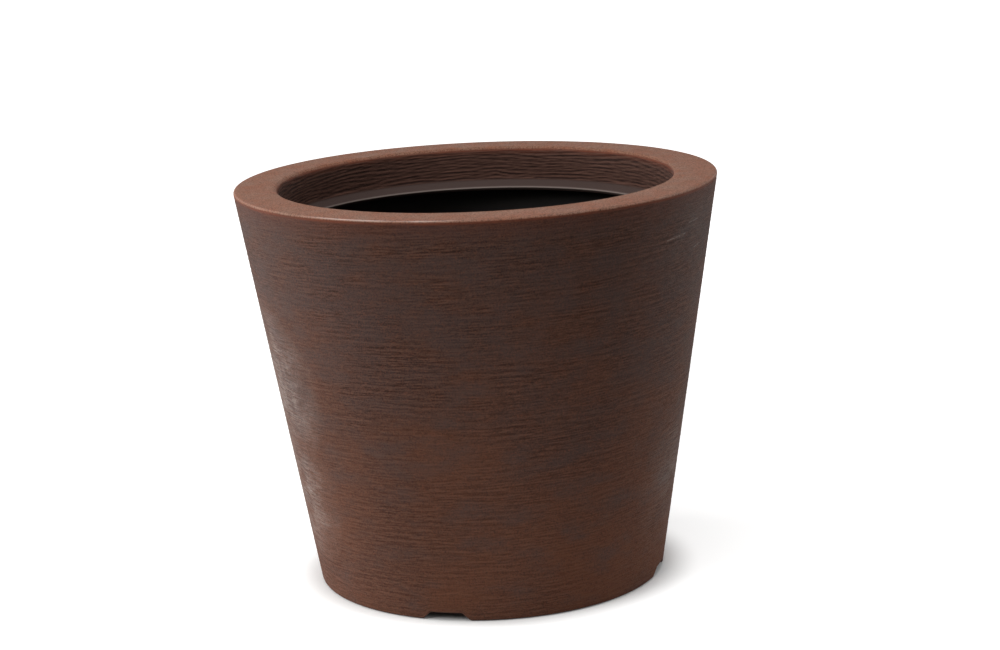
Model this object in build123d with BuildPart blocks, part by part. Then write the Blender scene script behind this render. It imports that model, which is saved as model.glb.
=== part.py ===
from build123d import *
import os
from math import cos, radians, sin, tan

# A cone planter, moulded in one piece as a hollow shell: a straight tapering wall, a flat rim
# that turns back down into a collar, and a curled lip that is trimmed to open the mouth.
# It stands on a foot ring with four drain notches, round a raised base with four plugged holes.
# The origin is the middle of the underside. +Z is up, the front is -Y, and lengths are in mm.

# The moulding
height = 420.0
rim_radius = 250.5
base_radius = 182.4
wall = 5.0

# The rim, measured to its corners before they are eased
rim_width = 46.0
rim_outer_chamfer = 3.0
rim_inner_rounding = 6.0

# The collar that hangs inside the rim, and the lip at its foot
collar_depth = 36.0
collar_draft = 2.4
lip_drop = 8.0
lip_reach = 9.0
lip_rounding = 7.0

# The foot ring round the raised base
base_clearance = 10.0
foot_width = 26.0
foot_chamfer = 2.5
foot_inner_draft = 25.0

# The drain notches across the foot ring
notch_height = 8.0
notch_top_width = 33.0
notch_side_slope = 45.0
notch_rounding = 2.0

# The drain holes through the raised base, each in line with a notch
drain_circle_radius = 105.0
drain_hole_radius = 14.0

# The push-in drain plug: a flange, a stem with a tapered tip, and a grip tab
plug_clearance = 0.3
plug_flange_overlap = 6.0
plug_flange_thickness = 3.0
plug_reach = 4.0
plug_tip_taper = 2.2
plug_tab_width = 22.0
plug_tab_height = 15.0
plug_tab_thickness = 5.0
plug_tab_rounding = 8.0

drain_places = {"right": 0.0, "back": 90.0, "left": 180.0, "front": 270.0}

# The outer skin runs from the middle of the base, round the foot ring, up the wall, over the
# rim and down the collar to the lip's trimmed edge
foot_inner_radius = base_radius - foot_width
recess_radius = foot_inner_radius - base_clearance * tan(radians(foot_inner_draft))
collar_radius = rim_radius - rim_width
collar_foot_radius = collar_radius - collar_depth * tan(radians(collar_draft))
opening_radius = collar_foot_radius - lip_reach
opening_height = height - collar_depth - lip_drop
planting_floor = base_clearance + wall

foot_corner = (base_radius, 0)
rim_corner = (rim_radius, height)
throat_corner = (collar_radius, height)
lip_corner = (collar_foot_radius, height - collar_depth)
skin = [
    (0, base_clearance),
    (recess_radius, base_clearance),
    (foot_inner_radius, 0),
    foot_corner,
    rim_corner,
    throat_corner,
    lip_corner,
    (opening_radius, opening_height),
]
skin_chamfers = {foot_corner: foot_chamfer, rim_corner: rim_outer_chamfer}
skin_roundings = {throat_corner: rim_inner_rounding, lip_corner: lip_rounding}


def ease_skin(section):
    """Chamfer and round the outer skin's corners in the current sketch."""
    for corner, size in skin_chamfers.items():
        chamfer(section.vertices().sort_by_distance(corner)[0], size)
    for corner, rounding in skin_roundings.items():
        fillet(section.vertices().sort_by_distance(corner)[0], rounding)


def notch_corners(growth):
    """The corners of a notch's section, grown all round by the wall that follows it."""
    crown = notch_height + growth
    half_top = notch_top_width / 2 + growth * tan(radians(notch_side_slope / 2))
    half_bottom = half_top + crown / tan(radians(notch_side_slope))
    return [(-half_bottom, 0), (-half_top, crown), (half_top, crown), (half_bottom, 0)]


# The solid form that the mould encloses
with BuildPart() as moulded_form:
    with BuildSketch(Plane.XZ) as form_section:
        with BuildLine():
            Polyline(*skin, (0, opening_height), close=True)
        make_face()
        ease_skin(form_section)
    revolve(axis=Axis.Z)

# The wall that rises over the drain notches, kept inside that form
with BuildPart() as notch_walls:
    for notch_plane in (Plane.XZ, Plane.YZ):
        with BuildSketch(notch_plane):
            with BuildLine():
                Polyline(*notch_corners(wall), close=True)
            make_face()
        extrude(amount=base_radius + wall, both=True)
    add(moulded_form.part, mode=Mode.INTERSECT)

with BuildPart() as planter_shell:
    with BuildSketch(Plane.XZ) as wall_section:
        with BuildLine():
            Polyline(*skin)
            offset(amount=wall, kind=Kind.INTERSECTION, side=Side.LEFT)
        make_face()
        ease_skin(wall_section)
    revolve(axis=Axis.Z)
    add(notch_walls.part)
    for notch_plane in (Plane.XZ, Plane.YZ):
        with BuildSketch(notch_plane):
            with BuildLine():
                FilletPolyline(*notch_corners(0), radius=notch_rounding)
                Line(notch_corners(0)[0], notch_corners(0)[-1])
            make_face()
        extrude(amount=base_radius + wall, both=True, mode=Mode.SUBTRACT)
    with PolarLocations(drain_circle_radius, len(drain_places)):
        Hole(drain_hole_radius)
planter_shell.part.label = "planter_shell"

os.makedirs("parts", exist_ok=True)
export_step(planter_shell.part, "parts/planter_shell.step")

# The plugs, each hanging by its flange from the rim of its hole
plug_flange_radius = drain_hole_radius + plug_flange_overlap
plug_stem_radius = drain_hole_radius - plug_clearance
plug_stem_length = wall + plug_reach

for place, turn in drain_places.items():
    outward = Vector(cos(radians(turn)), sin(radians(turn)), 0)
    seat = outward * drain_circle_radius + Vector(0, 0, planting_floor)
    across = Plane(seat, x_dir=outward, z_dir=outward.cross(Vector(0, 0, 1)))
    with BuildPart() as drain_plug:
        with BuildSketch(across):
            with BuildLine():
                Polyline(
                    (0, -plug_stem_length),
                    (plug_stem_radius - plug_tip_taper, -plug_stem_length),
                    (plug_stem_radius, -wall),
                    (plug_stem_radius, 0),
                    (plug_flange_radius, 0),
                    (plug_flange_radius, plug_flange_thickness),
                    (0, plug_flange_thickness),
                    close=True,
                )
            make_face()
        revolve(axis=Axis(seat, (0, 0, 1)))
        with BuildSketch(across) as tab:
            with Locations((0, plug_flange_thickness + plug_tab_height / 2)):
                Rectangle(plug_tab_width, plug_tab_height)
            fillet(tab.vertices().group_by(Axis.Y)[-1], plug_tab_rounding)
        extrude(amount=plug_tab_thickness / 2, both=True)
    drain_plug.part.label = "drain_plug_" + place
    export_step(drain_plug.part, "parts/drain_plug_" + place + ".step")
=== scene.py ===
from math import asin, cos, pi, radians, sin, tan

import bpy
import numpy as np
from mathutils import Matrix, Vector
from mathutils.geometry import delaunay_2d_cdt


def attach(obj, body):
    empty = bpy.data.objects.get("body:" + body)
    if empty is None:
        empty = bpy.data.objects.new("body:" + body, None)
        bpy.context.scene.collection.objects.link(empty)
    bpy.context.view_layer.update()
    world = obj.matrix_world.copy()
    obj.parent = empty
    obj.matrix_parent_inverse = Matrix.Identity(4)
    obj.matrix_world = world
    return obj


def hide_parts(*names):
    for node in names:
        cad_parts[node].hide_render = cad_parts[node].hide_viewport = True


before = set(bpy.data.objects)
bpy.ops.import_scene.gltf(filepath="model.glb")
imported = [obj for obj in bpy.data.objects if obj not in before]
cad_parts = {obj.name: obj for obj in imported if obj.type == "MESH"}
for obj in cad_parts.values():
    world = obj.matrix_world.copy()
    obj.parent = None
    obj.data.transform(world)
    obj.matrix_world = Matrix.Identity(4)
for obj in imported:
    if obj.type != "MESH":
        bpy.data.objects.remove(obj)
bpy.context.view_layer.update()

MM = 0.001

# The moulding's sizes
height = 420 * MM
rim_radius = 250.5 * MM
base_radius = 182.4 * MM
wall = 5 * MM
rim_width = 46 * MM
collar_depth = 36 * MM
collar_draft = radians(2.4)
lip_drop = 8 * MM
lip_reach = 9 * MM
base_clearance = 10 * MM
foot_width = 26 * MM
foot_inner_draft = radians(25)
notch_height = 8 * MM
notch_half_width = 24.5 * MM
notch_wall_half_width = 26.6 * MM
notch_fade = 24 * MM
drain_circle_radius = 105 * MM
drain_hole_radius = 14 * MM

wall_lean = (rim_radius - base_radius) / height
foot_inner_radius = base_radius - foot_width
recess_radius = foot_inner_radius - base_clearance * tan(foot_inner_draft)
collar_radius = rim_radius - rim_width
collar_foot_radius = collar_radius - collar_depth * tan(collar_draft)
collar_foot_height = height - collar_depth
opening_radius = collar_foot_radius - lip_reach
opening_height = collar_foot_height - lip_drop
planting_floor = base_clearance + wall
panel_radius = recess_radius - 6 * MM
turns = {"right": 0.0, "back": pi / 2, "left": pi, "front": 1.5 * pi}

# The relief of the skin, from crest to groove
wall_relief = 0.40 * MM
collar_relief = 0.42 * MM
rim_relief = 0.06 * MM
seam_relief = 0.18 * MM
line_wander = 1.6 * MM

# Where the smooth rim ends outside, and where the collar's parting line runs
rim_edge_height = height - 2.9 * MM
collar_seam_height = height - 6.5 * MM

# Where the painted highlight on the rim's outer edge is strongest, on the front left where the lamps
# would glint
highlight_angle = radians(-97)


# The section of the shell, from the underside round the skin and back to the planting floor

def unit(vector):
    return vector / np.linalg.norm(vector)


def offset_inward(corners, gap):
    """The corners of the line that runs a gap to the left of the line through these corners."""
    points = np.array(corners)
    runs = np.array([unit(run) for run in np.diff(points, axis=0)])
    sides = np.stack([-runs[:, 1], runs[:, 0]], 1)
    made = [points[0] + sides[0] * gap]
    for before, after, corner in zip(sides, sides[1:], points[1:]):
        middle = before + after
        made.append(corner + middle * gap * 2 / (middle @ middle))
    made.append(points[-1] + sides[-1] * gap)
    return made


def rounded_line(places, roundings, steps, spacings, names):
    """Points along a line with its corners rounded, and the name of the run that each is on."""
    reaches = [0.0] * len(places)
    for i in range(1, len(places) - 1):
        back, on = unit(places[i - 1] - places[i]), unit(places[i + 1] - places[i])
        reaches[i] = roundings[i] / tan(np.arccos(back @ on) / 2)
    points, zones = [places[0]], [names[0]]
    for i in range(len(places) - 1):
        along = unit(places[i + 1] - places[i])
        start = places[i] + along * reaches[i]
        stop = places[i + 1] - along * reaches[i + 1]
        count = max(1, round(np.linalg.norm(stop - start) / spacings[i]))
        points += [start + (stop - start) * step / count for step in range(1, count + 1)]
        zones += [names[i]] * count
        if i + 2 < len(places):
            onward = unit(places[i + 2] - places[i + 1])
            leave = places[i + 1] + onward * reaches[i + 1]
            turn = np.arccos(np.clip(along @ onward, -1, 1))
            centre = stop + unit(onward - along * (along @ onward)) * roundings[i + 1]
            for step in range(1, steps[i + 1] + 1):
                share = step / steps[i + 1]
                swing = np.array([sin((1 - share) * turn), sin(share * turn)]) / sin(turn)
                points.append(centre + (stop - centre) * swing[0] + (leave - centre) * swing[1])
                zones.append(names[i] if share <= 0.5 else names[i + 1])
    return np.array(points), zones


# Each corner with its rounding and the steps round it, then the run after it: spacing and name
skin = [
    ((panel_radius, base_clearance), 0, 0, 3.0 * MM, "underside"),
    ((recess_radius, base_clearance), 2.5 * MM, 3, 3.0 * MM, "underside"),
    ((foot_inner_radius, 0), 2.0 * MM, 3, 6.0 * MM, "underside"),
    ((base_radius, 0), 3.2 * MM, 6, 1.0 * MM, "wall"),
    ((rim_radius, height), 3.0 * MM, 7, 5.0 * MM, "rim"),
    ((collar_radius, height), 6.0 * MM, 8, 1.1 * MM, "collar"),
    ((collar_foot_radius, collar_foot_height), 7.0 * MM, 6, 1.3 * MM, "lip"),
    ((opening_radius, opening_height), 0.9 * MM, 4, 1.2 * MM, "edge"),
]
inner_detail = [
    (0.6 * MM, 2, 3.0 * MM, "inside"),
    (12.0 * MM, 4, 8.0 * MM, "inside"),
    (10.0 * MM, 5, 8.0 * MM, "inside"),
    (8.0 * MM, 5, 14.0 * MM, "inside"),
    (5.0 * MM, 5, 6.0 * MM, "inside"),
    (3.0 * MM, 4, 4.0 * MM, "inside"),
    (2.5 * MM, 3, 3.0 * MM, "inside"),
    (0, 0, 3.0 * MM, "inside"),
]
inner_corners = offset_inward([row[0] for row in skin], wall)[::-1]
section = [(np.array(row[0], float), *row[1:]) for row in skin]
section += [(corner, *detail) for corner, detail in zip(inner_corners, inner_detail)]
rows, row_zones = rounded_line(*[list(column) for column in zip(*section)])
row_zones = np.array(row_zones)
row_r, row_z = rows[:, 0], rows[:, 1]
steps_along = np.linalg.norm(np.diff(rows, axis=0), axis=1)
row_s = np.concatenate([[0], np.cumsum(steps_along)])
on_skin = np.arange(len(rows)) < np.argmax(row_zones == "inside")


def smooth_step(x):
    x = np.clip(x, 0, 1)
    return x * x * (3 - 2 * x)


def bell(x, width):
    return np.exp(-(x / width) ** 2)


def zone_weight(names, blur):
    """How far each row is on the named runs, blurred along the section."""
    flags = np.isin(row_zones, names).astype(float)
    shares = bell(row_s[:, None] - row_s[None, :], blur) * np.gradient(row_s)[None, :]
    return shares @ flags / shares.sum(1)


# Noise that repeats round the shell

noise_rows = 1024
noise_columns = 1024
noise_height = 0.64
noise_round = 2 * pi * rim_radius


def streaks(seed, pitch, spread, run):
    """Streaks round the shell, one about every pitch, each about a run long."""
    grain = np.random.default_rng(seed).standard_normal((noise_rows, noise_columns))
    up = np.abs(np.fft.fftfreq(noise_rows, noise_height / noise_rows))[:, None]
    around = np.fft.fftfreq(noise_columns, noise_round / noise_columns)[None, :]
    kept = bell(up - 1 / pitch, spread / pitch) * bell(around, 1 / run)
    made = np.fft.ifft2(np.fft.fft2(grain) * kept).real
    return made / made.std()


def clouds(seed, size_up, size_round):
    """Soft patches of about the given size."""
    grain = np.random.default_rng(seed).standard_normal((noise_rows, noise_columns))
    up = np.fft.fftfreq(noise_rows, noise_height / noise_rows)[:, None]
    around = np.fft.fftfreq(noise_columns, noise_round / noise_columns)[None, :]
    kept = bell(up, 1 / size_up) * bell(around, 1 / size_round)
    made = np.fft.ifft2(np.fft.fft2(grain) * kept).real
    return made / made.std()


def sample(field, around, up):
    """The field's values at angles around the shell and at lengths up it."""
    y = up / noise_height * noise_rows
    x = around / (2 * pi) * noise_columns
    y0, x0 = np.floor(y).astype(int), np.floor(x).astype(int)
    fy, fx = y - y0, x - x0
    y0, y1 = y0 % noise_rows, (y0 + 1) % noise_rows
    x0, x1 = x0 % noise_columns, (x0 + 1) % noise_columns
    low = field[y0, x0] * (1 - fx) + field[y0, x1] * fx
    high = field[y1, x0] * (1 - fx) + field[y1, x1] * fx
    return low * (1 - fy) + high * fy


# The columns of the shell, closer together over the drain notches

notch_columns = [t * MM for t in (0, 7, 13, 15.4, 16.6, 18, 21, 23.8, 24.8, 26.2, 28.5)]
plain_columns = 20


def column_angles():
    near = [asin(t / base_radius) for t in notch_columns]
    between = np.linspace(near[-1], pi / 2 - near[-1], plain_columns + 2)[1:-1]
    quarter = np.concatenate([-np.array(near[:0:-1]), near, between])
    return np.concatenate([quarter + turn for turn in turns.values()])


def notch_rise(t, half_width):
    """How far a notch's roof stands above its foot, a distance t from its middle line."""
    ease = 1.2 * MM
    rise = half_width - np.abs(t)
    rise = np.where(np.abs(rise) < ease, (rise + ease) ** 2 / (4 * ease), np.maximum(rise, 0))
    below = notch_height - rise
    below = np.where(np.abs(below) < ease, (below + ease) ** 2 / (4 * ease), np.maximum(below, 0))
    return notch_height - below


# The skin's relief and finish, by row and by angle round the shell

finish_zones = ("rim", "collar", "lip", "inside", "underside")


def zone_weights():
    """How far each row is on each stretch of the section."""
    rim = smooth_step((row_z - rim_edge_height) / (0.8 * MM)) * on_skin
    return {
        "rim": rim,
        "wall": zone_weight(["wall"], 1.2 * MM) * on_skin * (1 - rim),
        "collar": zone_weight(["collar"], 1.0 * MM) * (1 - rim),
        "lip": zone_weight(["lip", "edge"], 1.0 * MM),
        "inside": zone_weight(["inside"], 0.6 * MM),
        "underside": zone_weight(["underside"], 1.5 * MM),
    }


def brush_marks(theta):
    """The marks on the wall, the collar and the rim, from 1 at a crest to -1 in a groove."""
    up = row_s[:, None] + 0 * theta
    wander = line_wander * sample(clouds(11, 0.05, 0.22), theta, up)
    depth = 0.75 + 0.25 * np.tanh(sample(clouds(12, 0.03, 0.09), theta, up))
    fine = sample(streaks(21, 2.9 * MM, 0.32, 0.024), theta, up + wander)
    broad = sample(streaks(22, 6.5 * MM, 0.30, 0.040), theta, up + wander)
    coarse = sample(streaks(23, 4.2 * MM, 0.35, 0.034), theta, up + 1.5 * wander)
    on_wall = np.tanh(depth * (0.85 * fine + 0.45 * broad))
    on_collar = np.tanh(0.9 * coarse + 0.4 * fine)
    return on_wall, on_collar, np.tanh(coarse)


def seam_lines():
    """The parting lines outside and inside the rim, by row."""
    outside = bell(row_z - rim_edge_height + 0.6 * MM, 1.1 * MM) * on_skin
    inside = 0.5 * bell(row_z - collar_seam_height, 1.0 * MM) * (row_zones == "collar")
    return (outside + inside)[:, None]


def painted_rim_highlight(theta, patchy):
    """A painted highlight along the rim's outer edge, strongest on the front left where the lamps would
    glint, and broken up in patches.
    """
    wear_and_highlight = smooth_step((np.cos(theta - highlight_angle) - 0.94) / 0.06)
    line = bell(row_s - row_s[np.argmax(row_zones == "rim")], 0.7 * MM)[:, None]
    return line * (0.18 + 0.82 * wear_and_highlight) * (0.3 + 0.7 * patchy)


def skin_finish(theta):
    """How far the relief cuts into the skin, and the finish of each of its points."""
    weights = {name: weight[:, None] for name, weight in zone_weights().items()}
    on_wall, on_collar, on_rim = brush_marks(theta)
    patches = sample(clouds(13, 0.02, 0.03), theta, row_s[:, None] + 0 * theta)
    patchy = np.clip(0.6 + 0.4 * patches, 0, 1)
    seam = seam_lines()
    inward = wall_relief * weights["wall"] * (1 - on_wall) / 2
    inward += collar_relief * weights["collar"] * (1 - on_collar) / 2
    inward += rim_relief * weights["rim"] * (1 + on_rim) / 2
    inward += seam_relief * seam * patchy
    groove = on_wall * weights["wall"] + on_collar * weights["collar"]
    trimmed = row_s[np.argmax(row_zones == "edge")] - 0.3 * MM
    finish = {name: weights[name] + 0 * theta for name in finish_zones}
    finish["groove"] = groove / 2 + 0.5
    finish["seam"] = seam * (0.35 + 0.65 * patchy)
    # A painted highlight along the rim's outer edge
    finish["painted_highlight"] = painted_rim_highlight(theta, patchy)
    # A narrow band on the lip's trimmed edge, painted pale as a highlight
    finish["edge"] = bell(row_s - trimmed, 0.9 * MM)[:, None] + 0 * theta
    return inward, finish


def notch_lift(t):
    """How far the notches lift the foot, and the wall over them, t from their middle line."""
    low = row_z[:, None]
    skin_share = 1 - smooth_step(low / notch_fade)
    recess = (row_r < foot_inner_radius + 2 * MM)[:, None]
    skin_share = np.where(recess, 1 - low / base_clearance, skin_share)
    trough_share = 1 - smooth_step((low - wall) / notch_fade)
    hub = (row_r < foot_inner_radius + wall)[:, None]
    trough_share = np.where(hub, (planting_floor - low) / base_clearance, trough_share)
    foot_lift = skin_share * notch_rise(t, notch_half_width)
    wall_lift = trough_share * notch_rise(t, notch_wall_half_width)
    return np.where(on_skin[:, None], foot_lift, wall_lift)


def shell_grid():
    """The places of the shell's lathed points by row and column, and their finish."""
    angles = column_angles()
    from_notch = (angles + pi / 4) % (pi / 2) - pi / 4
    t = base_radius * np.sin(from_notch)[None, :]
    r, z = row_r[:, None], row_z[:, None]

    # Inside the base radius the columns over a notch run straight, as the notch does
    straight = np.arcsin(np.clip(t / np.minimum(r, base_radius), -1, 1)) - from_notch
    near_notch = 1 - smooth_step((np.abs(from_notch) - radians(9)) / radians(19))
    near_foot = 1 - smooth_step((z - 15 * MM) / (16 * MM))
    theta = angles + straight * near_notch * near_foot

    # The relief is cut in along the skin's normal
    inward, finish = skin_finish(theta)
    tangent = np.gradient(rows, axis=0)
    tangent /= np.linalg.norm(tangent, axis=1)[:, None]
    r = r - inward * tangent[:, 1][:, None]
    z = z + inward * tangent[:, 0][:, None]

    lift = notch_lift(t)
    leaning = (row_r > base_radius - 2 * wall)[:, None]
    r = r + np.where(leaning, lift * wall_lean, 0)
    return np.stack([r * np.cos(theta), r * np.sin(theta), z + lift], 2), finish


# The drain holes, with eased edges: how far out from the hole's radius, and how far in from a face

hole_points = 40
hole_easing = [(0.7 * MM, 0), (0.15 * MM, 0.25 * MM), (0, 0.8 * MM)]
hole_section = [(drain_hole_radius + out, base_clearance + deep) for out, deep in hole_easing]
hole_section += [(drain_hole_radius + out, planting_floor - deep) for out, deep in hole_easing[::-1]]
drain_centres = [Vector((cos(turn), sin(turn))) * drain_circle_radius for turn in turns.values()]


def add_hole(points, faces, centre):
    """Add a drain hole's wall to the points and faces, and give its lowest and highest ring."""
    rings = []
    for radius, z in hole_section:
        rings.append(list(range(len(points), len(points) + hole_points)))
        for k in range(hole_points):
            angle = 2 * pi * k / hole_points
            points.append([centre.x + radius * cos(angle), centre.y + radius * sin(angle), z])
    for low, high in zip(rings, rings[1:]):
        for k in range(hole_points):
            n = (k + 1) % hole_points
            faces.append([low[k], high[k], high[n], low[n]])
    return rings[0], rings[-1]


def panel_faces(ring, hole_rings, points):
    """Triangles between a ring of points and the holes inside it, seen from above."""
    loops = [ring, *hole_rings]
    order = [index for loop in loops for index in loop]
    flat = [Vector(points[index][:2]) for index in order]
    edges, first = [], 0
    for loop in loops:
        edges += [(first + k, first + (k + 1) % len(loop)) for k in range(len(loop))]
        first += len(loop)
    _, _, faces, sources, _, _ = delaunay_2d_cdt(flat, edges, [], 1, 1e-7)
    kept = []
    for face in faces:
        corners = [order[sources[k][0]] for k in face]
        middle = sum((Vector(points[index][:2]) for index in corners), Vector((0, 0))) / len(corners)
        if min((middle - centre).length for centre in drain_centres) > hole_section[0][0] * 0.999:
            kept.append(corners)
    return kept


def shell_mesh():
    """The whole shell as one closed mesh, with its finish stored on its points."""
    grid, finish = shell_grid()
    count_rows, count_columns = grid.shape[:2]
    index = np.arange(count_rows * count_columns).reshape(count_rows, count_columns)
    onward = np.roll(index, -1, 1)
    faces = np.stack([index[:-1], onward[:-1], onward[1:], index[1:]], 2).reshape(-1, 4).tolist()
    points = grid.reshape(-1, 3).tolist()
    lathed = len(points)
    holes = [add_hole(points, faces, centre) for centre in drain_centres]
    lower_rings, upper_rings = zip(*holes)
    faces += [face[::-1] for face in panel_faces(index[0].tolist(), lower_rings, points)]
    faces += panel_faces(index[-1].tolist(), upper_rings, points)
    mesh = bpy.data.meshes.new("moulded_shell")
    mesh.from_pydata(points, [], faces)
    for name, values in finish.items():
        round_holes = 1.0 if name == "inside" else 0.0
        held = np.full(len(points), round_holes, dtype=np.float32)
        held[:lathed] = values.reshape(-1)
        mesh.attributes.new(name, "FLOAT", "POINT").data.foreach_set("value", held)
    mesh.polygons.foreach_set("use_smooth", [True] * len(mesh.polygons))
    mesh.update()
    return mesh


def add_piece(name, mesh, body, node):
    """A piece that stands for a node of the frame and moves with its body."""
    piece = bpy.data.objects.new(name, mesh)
    bpy.context.scene.collection.objects.link(piece)
    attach(piece, body)
    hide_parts(node)
    return piece


# The drain plugs

plug_segments = 72
# Each corner in millimetres, as radius and height from the seat, with its rounding and steps
plug_corners = [
    ((0, -9), 0, 0, 20, "plug"),
    ((11.5, -9), 1.0, 4, 20, "plug"),
    ((13.7, -5), 1.6, 3, 20, "plug"),
    ((13.7, 0), 0.3, 2, 20, "plug"),
    ((20, 0), 0.5, 3, 20, "plug"),
    ((20, 3), 1.1, 5, 5, "plug"),
    ((0, 3), 0, 0, 20, "plug"),
]
tab_half_width = 11 * MM
tab_top = 18 * MM
tab_foot = 1.5 * MM
tab_rounding = 8 * MM
# Across the tab in millimetres: the place, and how far the outline draws in there
tab_edge = [(-2.5, 0.8), (-2.3, 0.3), (-1.8, 0.05), (0, 0), (1.8, 0.05), (2.3, 0.3), (2.5, 0.8)]


def lathe_mesh(name, section_points, segments):
    """A closed body turned round Z from a section that starts and ends on the axis."""
    points = [(0, 0, section_points[0][1]), (0, 0, section_points[-1][1])]
    faces, rings = [], []
    for r, z in section_points[1:-1]:
        rings.append(list(range(len(points), len(points) + segments)))
        for k in range(segments):
            angle = 2 * pi * k / segments
            points.append((r * cos(angle), r * sin(angle), z))
    for k in range(segments):
        n = (k + 1) % segments
        faces.append((0, rings[0][n], rings[0][k]))
        faces.append((1, rings[-1][k], rings[-1][n]))
        for low, high in zip(rings, rings[1:]):
            faces.append((low[k], low[n], high[n], high[k]))
    mesh = bpy.data.meshes.new(name)
    mesh.from_pydata(points, [], faces)
    return mesh


def tab_outline(inset):
    """The grip tab's outline, with its two upper corners rounded."""
    radius = tab_rounding - inset
    corner_x, corner_z = tab_half_width - tab_rounding, tab_top - tab_rounding
    arc = [(corner_x + radius * cos(a), corner_z + radius * sin(a))
           for a in np.linspace(0, pi / 2, 12)]
    right = [(tab_half_width - inset, tab_foot)] + arc
    return right + [(-x, z) for x, z in right[::-1]]


def tab_mesh(name):
    """The grip tab, which stands across its plug's own X axis with eased edges."""
    points, faces = [], []
    for y, inset in tab_edge:
        points += [(x, y * MM, z) for x, z in tab_outline(inset * MM)]
    size = len(points) // len(tab_edge)
    for level in range(len(tab_edge) - 1):
        for k in range(size):
            a, b = level * size + k, level * size + (k + 1) % size
            faces.append((a, a + size, b + size, b))
    faces.append(tuple(range(size)))
    faces.append(tuple(range(len(points) - 1, len(points) - 1 - size, -1)))
    mesh = bpy.data.meshes.new(name)
    mesh.from_pydata(points, [], faces)
    return mesh


def plug_mesh(name, turn):
    """A plug with its tab joined on, in its hole."""
    plug_section = [(np.array(c[0], float) * MM, c[1] * MM, c[2], c[3] * MM, c[4])
                    for c in plug_corners]
    outline, _ = rounded_line(*[list(column) for column in zip(*plug_section)])
    body = bpy.data.objects.new(name + "_body", lathe_mesh(name + "_body", outline, plug_segments))
    tab = bpy.data.objects.new(name + "_tab", tab_mesh(name + "_tab"))
    for part in (body, tab):
        bpy.context.scene.collection.objects.link(part)
    union = body.modifiers.new("tab", "BOOLEAN")
    union.operation = "UNION"
    union.solver = "EXACT"
    union.object = tab
    bpy.context.view_layer.update()
    solved = body.evaluated_get(bpy.context.evaluated_depsgraph_get())
    mesh = bpy.data.meshes.new_from_object(solved)
    mesh.name = name
    for part in (body, tab):
        bpy.data.objects.remove(part)
    seat = Vector((drain_circle_radius * cos(turn), drain_circle_radius * sin(turn), planting_floor))
    mesh.transform(Matrix.Translation(seat) @ Matrix.Rotation(turn, 4, "Z"))
    mesh.polygons.foreach_set("use_smooth", [True] * len(mesh.polygons))
    mesh.set_sharp_from_angle(angle=radians(32))
    mesh.update()
    return mesh


# Materials

patch_cells = 28.0
scratch_half_width = 0.8 * MM


class Graph:
    """The nodes of one material, by short names."""

    def __init__(self, name):
        self.material = bpy.data.materials.new(name)
        self.material.use_nodes = True
        self.tree = self.material.node_tree
        self.shader = next(n for n in self.tree.nodes if n.type == "BSDF_PRINCIPLED")
        self.place = self.add("TexCoord").outputs["Object"]

    def add(self, kind, inputs=None, **settings):
        made = self.tree.nodes.new("ShaderNode" + kind)
        for key, value in settings.items():
            setattr(made, key, value)
        for key, value in (inputs or {}).items():
            self.feed(made.inputs[key], value)
        return made

    def feed(self, socket, value):
        if isinstance(value, bpy.types.NodeSocket):
            self.tree.links.new(value, socket)
        else:
            socket.default_value = value

    def finish(self, **sockets):
        for key, value in sockets.items():
            self.feed(self.shader.inputs[key.replace("_", " ")], value)
        return self.material

    def stored(self, name):
        return self.add("Attribute", attribute_name=name).outputs["Fac"]

    def math(self, operation, *values):
        return self.add("Math", dict(enumerate(values)), operation=operation).outputs[0]

    def stretch(self, scales, place=None):
        inputs = {0: place or self.place, 1: scales}
        return self.add("VectorMath", inputs, operation="MULTIPLY").outputs[0]

    def noise(self, scale, detail=2.0, roughness=0.5, place=None):
        inputs = {"Vector": place or self.place, "Scale": scale}
        inputs.update({"Detail": detail, "Roughness": roughness})
        return self.add("TexNoise", inputs).outputs[0]

    def spread(self, value, low, high, to_low=0.0, to_high=1.0):
        inputs = {"Value": value, "From Min": low, "From Max": high}
        inputs.update({"To Min": to_low, "To Max": to_high})
        return self.add("MapRange", inputs).outputs[0]

    def blend(self, share, first, second):
        mix = self.add("Mix", data_type="RGBA")
        for key, value in ((0, share), (6, first), (7, second)):
            colour = value if key == 0 or isinstance(value, bpy.types.NodeSocket) else (*value, 1)
            self.feed(mix.inputs[key], colour)
        return mix.outputs[2]

    def near(self, centre, reach):
        """One at the centre, falling unevenly to nothing at the reach."""
        away = self.add("VectorMath", {0: self.place, 1: centre}, operation="DISTANCE")
        falling = self.spread(away.outputs["Value"], 0.0, reach, 1.0, 0.0)
        uneven = self.spread(self.noise(patch_cells, 3.0, 0.6), 0.38, 0.58, 0.3, 1.0)
        return self.math("MULTIPLY", falling, uneven)

    def scratch(self, place, start, end):
        """One on the line from start to end, falling to nothing within a scratch's width."""
        length = (end - start).length
        along = (end - start).normalized()
        from_start = self.add("VectorMath", {0: place, 1: start}, operation="SUBTRACT").outputs[0]
        ahead = self.add("VectorMath", {0: from_start, 1: along}, operation="DOT_PRODUCT")
        ahead = self.spread(ahead.outputs["Value"], 0.0, length, 0.0, length)
        foot = self.add("VectorMath", {0: along, "Scale": ahead}, operation="SCALE").outputs[0]
        away = self.add("VectorMath", {0: from_start, 1: foot}, operation="DISTANCE")
        return self.spread(away.outputs["Value"], 0.1 * MM, scratch_half_width, 1.0, 0.0)

    def bump(self, level, distance):
        inputs = {"Height": level, "Distance": distance, "Strength": 1.0}
        return self.add("Bump", inputs).outputs[0]
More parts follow.
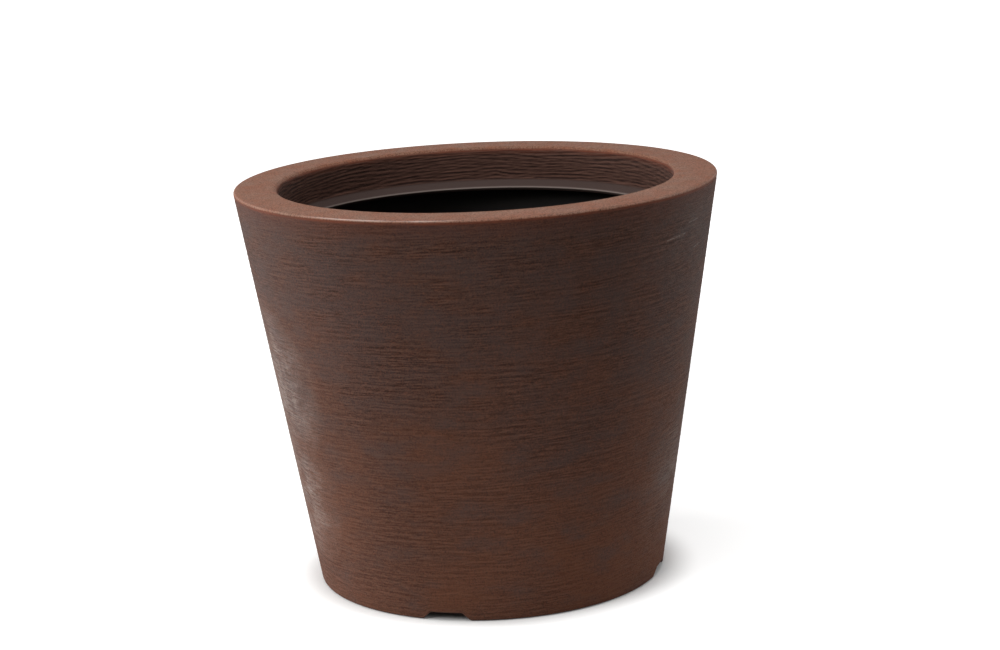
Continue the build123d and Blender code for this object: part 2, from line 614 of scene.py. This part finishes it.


# Colours of the shell
# The groove colours are partly the brush marks' own tone and partly painted shade in the grooves
wall_groove_shade_colour = (0.033, 0.0155, 0.0115)
wall_crest_colour = (0.112, 0.056, 0.040)
wall_warm_colour = (0.132, 0.051, 0.027)
wall_grey_colour = (0.070, 0.046, 0.041)
speck_red_colour = (0.150, 0.052, 0.030)
speck_dark_colour = (0.024, 0.015, 0.015)
under_rim_colour = (0.110, 0.036, 0.021)
rim_colour = (0.252, 0.138, 0.096)
rim_dark_colour = (0.100, 0.046, 0.031)
rim_red_colour = (0.255, 0.102, 0.060)
collar_colour = (0.124, 0.062, 0.046)
collar_groove_shade_colour = (0.028, 0.014, 0.011)
lip_colour = (0.060, 0.040, 0.035)
# The colour of the painted highlight on the lip's trimmed edge
painted_edge_highlight_colour = (0.290, 0.235, 0.210)
seam_colour = (0.150, 0.042, 0.022)
# The colour of the painted highlight on the rim's outer edge
painted_highlight_colour = (0.640, 0.520, 0.470)
# The inside is coloured near black as painted shade over the same plastic
painted_inside_shade_colour = (0.036, 0.033, 0.031)
underside_colour = (0.070, 0.040, 0.031)
# A pale colour for the painted sheen patches, and for the real scratches and rubbed wear
pale_scuff_and_sheen_colour = (0.340, 0.290, 0.265)
pinhole_colour = (0.030, 0.016, 0.012)

# The grain of the finish, in cells a metre: round the shell in X and Y, and up it in Z
line_cells = (100.0, 100.0, 700.0)
hair_cells = (240.0, 240.0, 1300.0)
streak_cells = (40.0, 40.0, 700.0)
grain_cells = 1500.0
speck_cells = 640.0
pinhole_cells = 170.0
line_drift = 6 * MM
bump_depth = 1.25 * MM

# Where the wall is paler, mostly painted sheen of the side lamps at its grazing edges and partly rubbed
# wear: polar angle, height, reach and strength
sheen_and_scuff_patches = [(-146, 228, 92, 1.0), (-146, 108, 80, 1.0), (-16, 376, 55, 0.14), (0, 110, 95, 0.55)]

# Scratches in the wall, each from one polar angle and height to another
scratches = [
    (-25, 373.5, -17, 375.5),
    (-16, 385.0, -10, 386.0),
    (-11, 356.0, -7, 358.0),
    (-141, 214.0, -136, 212.0),
]


def noise_fields(g):
    """The fields of noise that the shell's looks share."""
    drift = g.math("MULTIPLY", g.math("SUBTRACT", g.noise(8.0), 0.5), line_drift)
    lift = g.add("CombineXYZ", {"Z": drift}).outputs[0]
    place = g.add("VectorMath", {0: g.place, 1: lift}, operation="ADD").outputs[0]
    speck = g.noise(speck_cells, 2.0, 0.6)
    streak = g.noise(1.0, 4.0, 0.7, g.stretch(streak_cells, place))
    return {
        "lines": g.noise(1.0, 3.0, 0.6, g.stretch(line_cells, place)),
        "hairs": g.noise(1.0, 2.0, 0.6, g.stretch(hair_cells, place)),
        "grain": g.noise(grain_cells, 2.0, 0.6),
        "speck": speck,
        "streak": g.spread(g.math("MULTIPLY_ADD", speck, 0.35, streak), 0.52, 0.86),
        "groove": g.stored("groove"),
    }


def wall_look(g, fields, z):
    """Brushed crests over grooves, the grooves darker partly by the marks' own tone and partly as
    painted shade, warmer towards the foot and greyer in patches, then scaled brighter towards the foot
    and darker towards the rim as painted floor bounce light.
    """
    hairs, speck = fields["hairs"], fields["speck"]
    # The stored groove depth darkens the colour as painted shade in the grooves; the noise adds the
    # marks' own tone
    level = g.math("MULTIPLY", fields["groove"], 0.34)
    level = g.math("MULTIPLY_ADD", fields["lines"], 0.50, level)
    level = g.math("MULTIPLY_ADD", hairs, 0.40, level)
    level = g.math("MULTIPLY_ADD", speck, 0.22, level)
    look = g.blend(g.spread(level, 0.59, 0.87), wall_groove_shade_colour, wall_crest_colour)
    low = g.spread(z, 0.32, 0.02)
    mottle = g.spread(g.noise(9.0, 4.0, 0.6), 0.40, 0.70, 0.0, 0.40)
    look = g.blend(g.math("MULTIPLY_ADD", low, 0.30, mottle), look, wall_warm_colour)
    tint = g.noise(23.0, 3.0, 0.55, g.stretch((1.0, 1.0, 2.2)))
    greyness = g.spread(g.math("MULTIPLY_ADD", low, -0.16, tint), 0.36, 0.62, 0.0, 0.60)
    look = g.blend(greyness, look, wall_grey_colour)
    under_rim = g.spread(z, height - 26 * MM, height - 5 * MM, 0.0, 0.85)
    look = g.blend(g.math("MULTIPLY", under_rim, hairs), look, under_rim_colour)
    look = g.blend(g.spread(speck, 0.54, 0.70, 0.0, 0.50), look, speck_red_colour)
    look = g.blend(g.spread(speck, 0.44, 0.30, 0.0, 0.50), look, speck_dark_colour)
    # Painted light: brighter towards the foot, where the floor's bounce would light the wall, and darker
    # towards the rim
    painted_bounce_light = g.spread(z, 0.0, height, 1.20, 0.84)
    return g.add("VectorMath", {0: look, "Scale": painted_bounce_light}, operation="SCALE").outputs[0]


def sheen_and_rubbed_look(g, fields, look):
    """The wall's look with its pale patches, which are mostly painted sheen at its grazing edges and
    partly rubbed wear, through which the brush marks show.
    """
    sheen_and_rubbed = 0.0
    for angle, z, reach, strength in sheen_and_scuff_patches:
        r = base_radius + z * MM * wall_lean
        centre = (r * cos(radians(angle)), r * sin(radians(angle)), z * MM)
        mark = g.math("MULTIPLY", g.near(centre, reach * MM), strength)
        sheen_and_rubbed = g.math("MAXIMUM", mark, sheen_and_rubbed)
    # Painted sheen and some rubbed wear, showing through the streaks
    return g.blend(g.math("MULTIPLY", sheen_and_rubbed, fields["streak"]), look, pale_scuff_and_sheen_colour)


def scratched_look(g, look, x, y, z):
    """The wall's look with its scratches, drawn on the wall as if it were unrolled."""
    unrolled_x = g.math("MULTIPLY", g.math("ARCTAN2", y, x), rim_radius)
    unrolled = g.add("CombineXYZ", {"X": unrolled_x, "Y": z}).outputs[0]
    broken = g.spread(g.noise(420.0, 2.0, 0.6), 0.40, 0.56)
    for start_angle, start_z, end_angle, end_z in scratches:
        start = Vector((radians(start_angle) * rim_radius, start_z * MM, 0))
        end = Vector((radians(end_angle) * rim_radius, end_z * MM, 0))
        scratch = g.math("MULTIPLY", g.scratch(unrolled, start, end), broken)
        look = g.blend(g.math("MULTIPLY", scratch, 0.42), look, pale_scuff_and_sheen_colour)
    return look


def collar_look(g, fields):
    """The collar, which is coarser and darker than the wall, darkest in its grooves, partly by the
    marks' own tone and partly by painted shade.
    """
    level = g.math("MULTIPLY_ADD", fields["lines"], 0.5, g.math("MULTIPLY", fields["groove"], 0.6))
    return g.blend(g.spread(level, 0.32, 0.80), collar_groove_shade_colour, collar_colour)


def pinholes(g):
    """Small round pits, in patches."""
    cells = g.add("TexVoronoi", {"Vector": g.place, "Scale": pinhole_cells})
    picked = g.math("GREATER_THAN", g.noise(47.0), 0.54)
    return g.math("MULTIPLY", g.spread(cells.outputs["Distance"], 0.10, 0.16, 0.8, 0.0), picked)


def rim_look(g, fields, pits):
    """The rim, which is smooth and speckled, with pits."""
    look = g.blend(g.spread(g.noise(40.0, 4.0, 0.6), 0.35, 0.65), rim_red_colour, rim_colour)
    look = g.blend(g.spread(fields["speck"], 0.54, 0.38, 0.0, 0.90), look, rim_dark_colour)
    return g.blend(pits, look, pinhole_colour)


def shell_relief(g, fields, pits):
    """The finest relief: brush marks on the wall and collar, a grain all over, and the pits."""
    smooth = g.math("MAXIMUM", g.stored("lip"), g.stored("inside"))
    brushed = g.math("SUBTRACT", 1.0, g.math("MAXIMUM", g.stored("rim"), smooth))
    level = g.math("MULTIPLY_ADD", fields["hairs"], 0.40, g.math("MULTIPLY", fields["lines"], 0.70))
    level = g.math("MULTIPLY", level, brushed)
    level = g.math("MULTIPLY_ADD", fields["grain"], 0.22, level)
    return g.math("MULTIPLY_ADD", pits, g.math("MULTIPLY", g.stored("rim"), -0.3), level)


def shell_material():
    g = Graph("brushed_shell")
    fields = noise_fields(g)
    pits = pinholes(g)
    axes = g.add("SeparateXYZ", {0: g.place}).outputs
    look = wall_look(g, fields, axes["Z"])
    look = sheen_and_rubbed_look(g, fields, look)
    look = scratched_look(g, look, axes["X"], axes["Y"], axes["Z"])
    look = g.blend(g.stored("collar"), look, collar_look(g, fields))
    look = g.blend(g.stored("rim"), look, rim_look(g, fields, pits))
    look = g.blend(g.stored("lip"), look, lip_colour)
    look = g.blend(g.stored("underside"), look, underside_colour)
    look = g.blend(g.math("MULTIPLY", g.stored("seam"), 0.90), look, seam_colour)
    # Painted highlight along the rim's outer edge
    look = g.blend(g.math("MULTIPLY", g.stored("painted_highlight"), 0.75), look, painted_highlight_colour)
    # Painted shade: the inside is coloured near black
    look = g.blend(g.stored("inside"), look, painted_inside_shade_colour)
    # Painted highlight on the lip's trimmed edge
    look = g.blend(g.math("MULTIPLY", g.stored("edge"), 0.9), look, painted_edge_highlight_colour)
    wear_and_highlight = g.math("MULTIPLY_ADD", fields["grain"], 0.4, fields["lines"])
    return g.finish(
        Base_Color=look,
        Roughness=g.spread(wear_and_highlight, 0.45, 0.95, 0.70, 0.56),
        Specular_IOR_Level=0.06,
        Normal=g.bump(shell_relief(g, fields, pits), bump_depth),
    )


# Colours of the plugs
rubber_colour = (0.014, 0.014, 0.014)
rubber_dust_colour = (0.045, 0.043, 0.040)


def rubber_material():
    g = Graph("plug_rubber")
    grain = g.noise(1800.0, 3.0, 0.6)
    dust = g.noise(60.0, 5.0, 0.65)
    look = g.blend(g.spread(dust, 0.45, 0.75), rubber_colour, rubber_dust_colour)
    rough = g.spread(dust, 0.35, 0.70, 0.42, 0.66)
    return g.finish(
        Base_Color=look,
        Roughness=rough,
        Specular_IOR_Level=0.4,
        Normal=g.bump(grain, 0.12 * MM),
    )


# The shell and plugs

shell = add_piece("moulded_shell", shell_mesh(), "planter", "planter_shell")
shell.data.materials.append(shell_material())
rubber = rubber_material()
for place, turn in turns.items():
    mesh = plug_mesh("push_in_plug_" + place, turn)
    mesh.materials.clear()
    mesh.materials.append(rubber)
    add_piece(mesh.name, mesh, "plug_" + place, "drain_plug_" + place)


# The studio: a pale floor that keeps the shadow, and a white world

floor_colour = (0.85, 0.85, 0.8415, 1)
floor_reach = 9.0
floor_gap = 0.4 * MM
world_light = 0.12

# How much the floor glows to the camera, by how far it is from the planter's middle: rising from nothing
# under it to lighten its shadow at the foot, dipping in a ring round it as a painted soft shadow, and
# rising to white far off
floor_glow_and_painted_shadow = [((0.165, 0.225), 0.66), ((0.30, 0.60), -0.16), ((0.80, 1.90), 0.55)]


def floor_material():
    """A matt floor that glows to the camera away from the planter, with a dip in the glow that paints a
    soft shadow round it, and is clear when it is seen from below.
    """
    g = Graph("pale_floor")
    away = g.add("VectorMath", {0: g.place}, operation="LENGTH").outputs["Value"]
    glow = 0.0
    for (near, far), share in floor_glow_and_painted_shadow:
        inputs = {"Value": away, "From Min": near, "From Max": far, "To Max": share}
        ramp = g.add("MapRange", inputs, interpolation_type="SMOOTHSTEP")
        glow = g.math("ADD", ramp.outputs[0], glow)
    glow = g.math("MULTIPLY", g.add("LightPath").outputs["Is Camera Ray"], glow)
    glowing = g.add("Emission", {"Strength": glow}).outputs[0]
    above = g.add("AddShader", {0: g.shader.outputs[0], 1: glowing}).outputs[0]
    below = g.add("BsdfTransparent").outputs[0]
    side = g.add("NewGeometry").outputs["Backfacing"]
    sided = g.add("MixShader", {0: side, 1: above, 2: below}).outputs[0]
    output = next(n for n in g.tree.nodes if n.type == "OUTPUT_MATERIAL")
    g.feed(output.inputs["Surface"], sided)
    return g.finish(Base_Color=floor_colour, Roughness=0.9, Specular_IOR_Level=0.0)


def add_floor():
    signs = [(-1, -1), (1, -1), (1, 1), (-1, 1)]
    corners = [(x * floor_reach, y * floor_reach, -floor_gap) for x, y in signs]
    mesh = bpy.data.meshes.new("floor")
    mesh.from_pydata(corners, [], [(0, 1, 2, 3)])
    mesh.materials.append(floor_material())
    floor = bpy.data.objects.new("floor", mesh)
    bpy.context.scene.collection.objects.link(floor)


def set_world():
    """A moderate light all round, which is white where it is looked at or reflected."""
    world = bpy.data.worlds.new("studio")
    bpy.context.scene.world = world
    world.use_nodes = True
    tree = world.node_tree
    light = next(n for n in tree.nodes if n.type == "BACKGROUND")
    light.inputs["Color"].default_value = (1, 1, 1, 1)
    rays = tree.nodes.new("ShaderNodeLightPath")
    seen = rays.outputs["Is Camera Ray"]
    for name in ("Is Glossy Ray", "Is Transmission Ray"):
        either = tree.nodes.new("ShaderNodeMath")
        either.operation = "MAXIMUM"
        tree.links.new(seen, either.inputs[0])
        tree.links.new(rays.outputs[name], either.inputs[1])
        seen = either.outputs[0]
    strength = tree.nodes.new("ShaderNodeMapRange")
    strength.inputs["To Min"].default_value = world_light
    strength.inputs["To Max"].default_value = 1.0
    tree.links.new(seen, strength.inputs["Value"])
    tree.links.new(strength.outputs[0], light.inputs["Strength"])


# Lamps, placed round the camera's own line of sight: name, power, width, height and place
camera_turn = radians(15.6)
lamps = [
    ("key_softbox", 27.0, 1.2, 1.2, (-1.8, -1.4, 1.6)),
    ("top_softbox", 35.0, 1.8, 1.8, (0.0, -0.6, 2.4)),
    ("left_softbox", 58.0, 0.8, 1.2, (-2.2, 0.6, 0.30)),
    ("right_softbox", 24.0, 0.8, 1.0, (2.2, 1.0, 0.15)),
]


def add_lamps():
    spin = Matrix.Rotation(camera_turn, 4, "Z")
    middle = Vector((0, 0, height / 2))
    for name, power, wide, tall, place in lamps:
        lamp = bpy.data.lights.new(name, "AREA")
        lamp.shape = "RECTANGLE"
        lamp.size = wide
        lamp.size_y = tall
        lamp.energy = power
        holder = bpy.data.objects.new(name, lamp)
        holder.visible_camera = False
        bpy.context.scene.collection.objects.link(holder)
        at = spin @ Vector(place)
        facing = (middle - at).to_track_quat("-Z", "Y")
        holder.matrix_world = Matrix.Translation(at) @ facing.to_matrix().to_4x4()


# The camera: how far out and how high it stands, and which way it looks
camera_out = 2.45492
camera_height = 0.81412
look_aside = radians(0.4437)
look_down = radians(12.6843)
camera_roll = radians(-2.5219)
camera_lens = 86.24


def add_camera():
    ahead = Vector((sin(look_aside) * cos(look_down), cos(look_aside) * cos(look_down), -sin(look_down)))
    right = ahead.cross(Vector((0, 0, 1))).normalized()
    up = right.cross(ahead)
    rolled_right = right * cos(camera_roll) + up * sin(camera_roll)
    rolled_up = up * cos(camera_roll) - right * sin(camera_roll)
    facing = Matrix((rolled_right, rolled_up, -ahead)).transposed().to_4x4()
    camera = bpy.data.cameras.new("camera")
    camera.lens = camera_lens
    camera.sensor_width = 36
    camera.sensor_fit = "HORIZONTAL"
    holder = bpy.data.objects.new("camera", camera)
    bpy.context.scene.collection.objects.link(holder)
    at = Matrix.Translation((0, -camera_out, camera_height))
    holder.matrix_world = Matrix.Rotation(camera_turn, 4, "Z") @ at @ facing
    bpy.context.scene.camera = holder


add_floor()
set_world()
add_lamps()
add_camera()
bpy.context.scene.view_settings.view_transform = "Standard"
